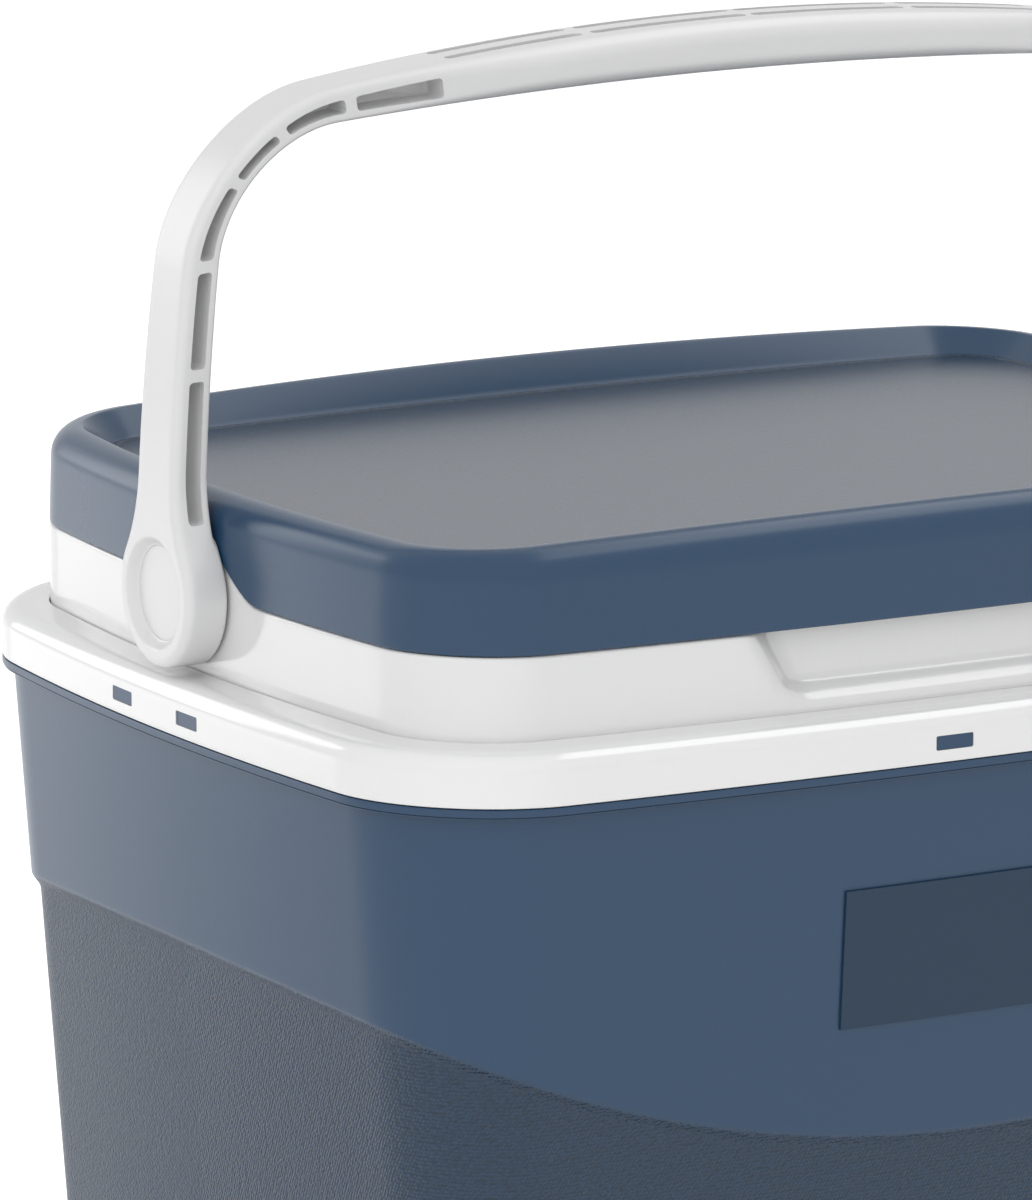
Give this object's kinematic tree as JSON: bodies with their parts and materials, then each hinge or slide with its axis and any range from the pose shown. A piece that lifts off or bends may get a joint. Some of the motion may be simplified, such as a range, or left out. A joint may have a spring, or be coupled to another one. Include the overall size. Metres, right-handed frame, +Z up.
{
  "type": "cooler chest",
  "caption": "Insulated hard-sided cooler chest with a double-wall tub, clip-on collar, lift-off lid with a tray top, and a folding bail handle.",
  "frame": {"origin": "on the floor under the middle of the chest", "axes": "+X along the chest's length and the bail's pivot line, -Y the front, +Z up"},
  "size_m": [0.4364, 0.338, 0.5056],
  "materials": {
    "shell_blue": "satin",
    "plastic_white": "gloss",
    "foam_cream": "matte",
    "gasket_grey": "matte",
    "pin_grey": "satin"
  },
  "bodies": {
    "chest": {"outer_shell": "shell_blue", "foam_core": "foam_cream", "inner_tub": "plastic_white", "neck_ring": "plastic_white", "collar_ring": "plastic_white", "base_plug": "plastic_white", "pivot_pin_left": "pin_grey", "pivot_pin_right": "pin_grey", "pivot_washer_left": "gasket_grey", "pivot_washer_right": "gasket_grey"},
    "lid": {"lid_shell": "shell_blue", "lid_foam": "foam_cream", "lid_pan": "plastic_white", "lid_gasket": "gasket_grey", "lid_plug": "plastic_white"},
    "bail": {"bail_handle": "plastic_white", "hub_cap_left": "plastic_white", "hub_cap_right": "plastic_white"}
  },
  "joints": [
    {"name": "lid_lift", "type": "slide", "parent": "chest", "child": "lid", "axis": [0, 0, 1], "range_m": [0, 0.022]},
    {"name": "bail_swing", "type": "hinge", "parent": "chest", "child": "bail", "pos_m": [0, 0, 0.3337], "axis": [1, 0, 0], "range_deg": [-90, 90]}
  ]
}
